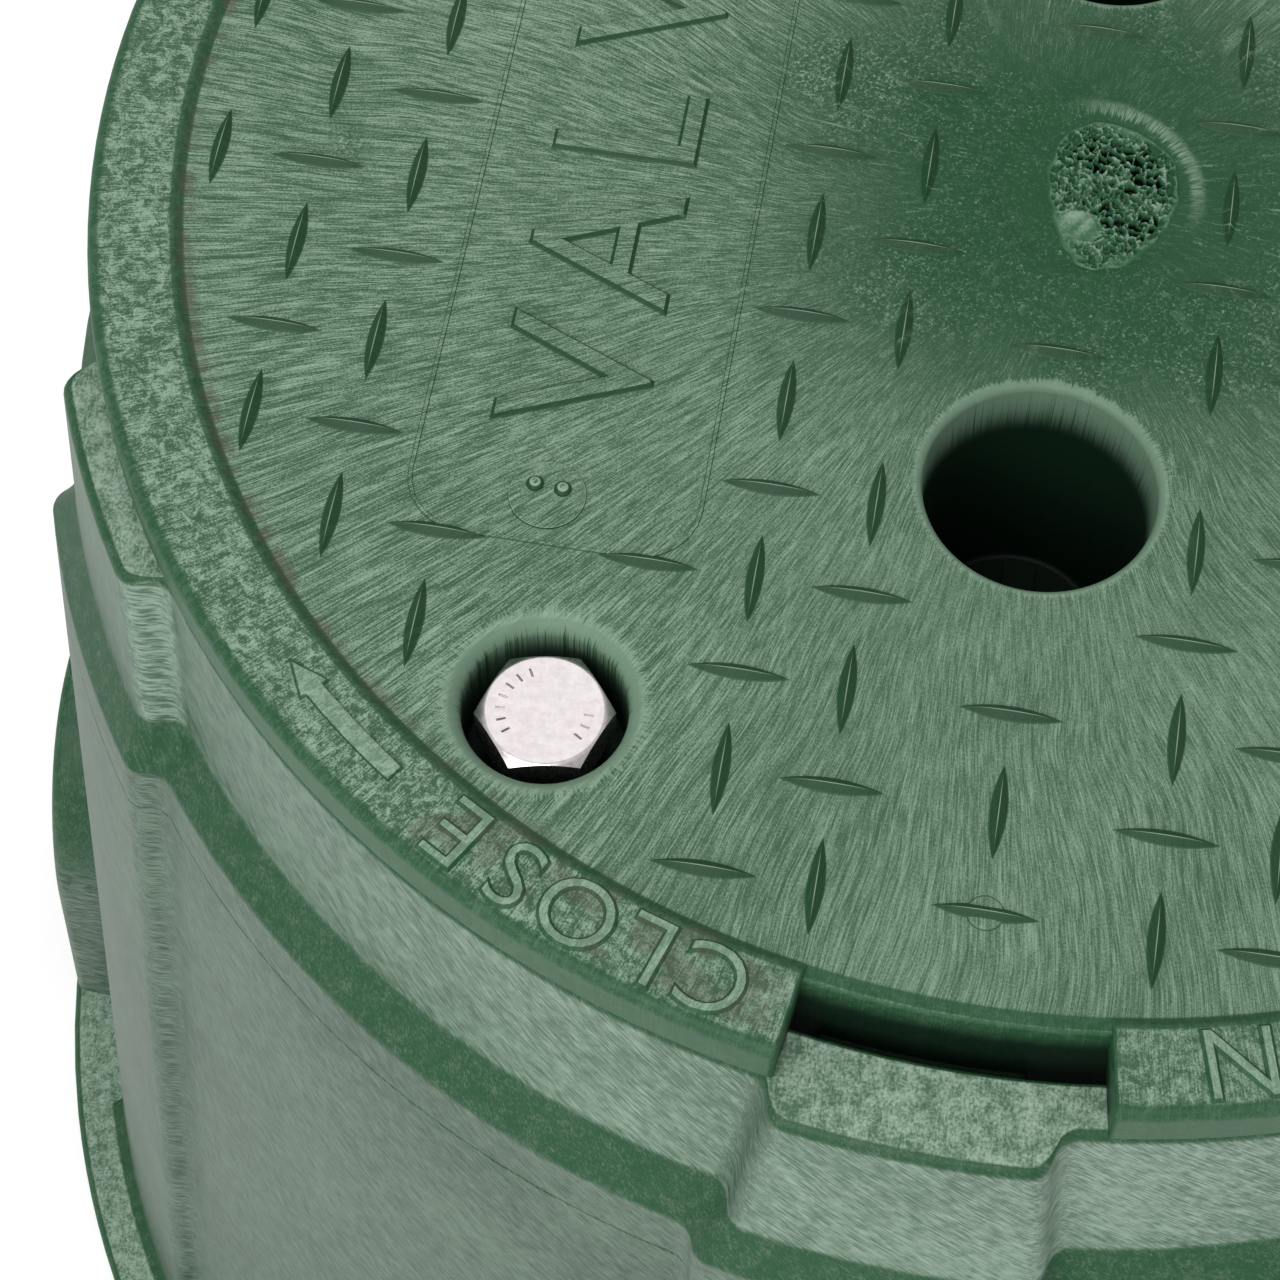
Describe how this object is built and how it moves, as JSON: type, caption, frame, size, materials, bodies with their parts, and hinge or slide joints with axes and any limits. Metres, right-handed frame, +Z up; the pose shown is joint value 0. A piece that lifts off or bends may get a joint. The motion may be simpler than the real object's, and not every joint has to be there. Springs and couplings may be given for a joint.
{
  "type": "valve box with cover",
  "caption": "Round, open-bottomed plastic valve box with outside columns, hooded pipe slots and a twist-lock cover with finger wells and a bolt.",
  "frame": {"origin": "centre of the base flange's underside, where the box stands", "axes": "+Z up along the box's axis; +X and +Y along the cover's square tread grid, with the pry notch towards -Y"},
  "size_m": [0.3192, 0.323, 0.2604],
  "materials": {
    "green_plastic": "moulded structural foam, streaked",
    "brass": "turned",
    "steel": "bright stainless"
  },
  "bodies": {
    "box": {"box_body": "green_plastic", "pipe_hood_right": "green_plastic", "pipe_hood_left": "green_plastic", "lock_shelf": "green_plastic"},
    "cover": {"cover": "green_plastic", "thread_insert": "brass"},
    "bolt_carrier": {"retaining_ring": "steel"},
    "bolt": {"lock_bolt": "steel"}
  },
  "joints": [
    {"name": "cover_turn", "type": "hinge", "parent": "box", "child": "cover", "pos_m": [0, 0, 0.253], "axis": [0, 0, 1], "range_deg": [0, 24]},
    {"name": "bolt_rise", "type": "slide", "parent": "cover", "child": "bolt_carrier", "axis": [0, 0, 1], "range_m": [-0.0046, 0.0108]},
    {"name": "bolt_turn", "type": "hinge", "parent": "bolt_carrier", "child": "bolt", "pos_m": [-0.0531, -0.0838, 0.22], "axis": [0, 0, 1], "range_deg": [-900, 2160]}
  ],
  "couplings": [
    {"joint": "bolt_rise", "follows": "bolt_turn", "m_per_rad": 0.00025266}
  ]
}
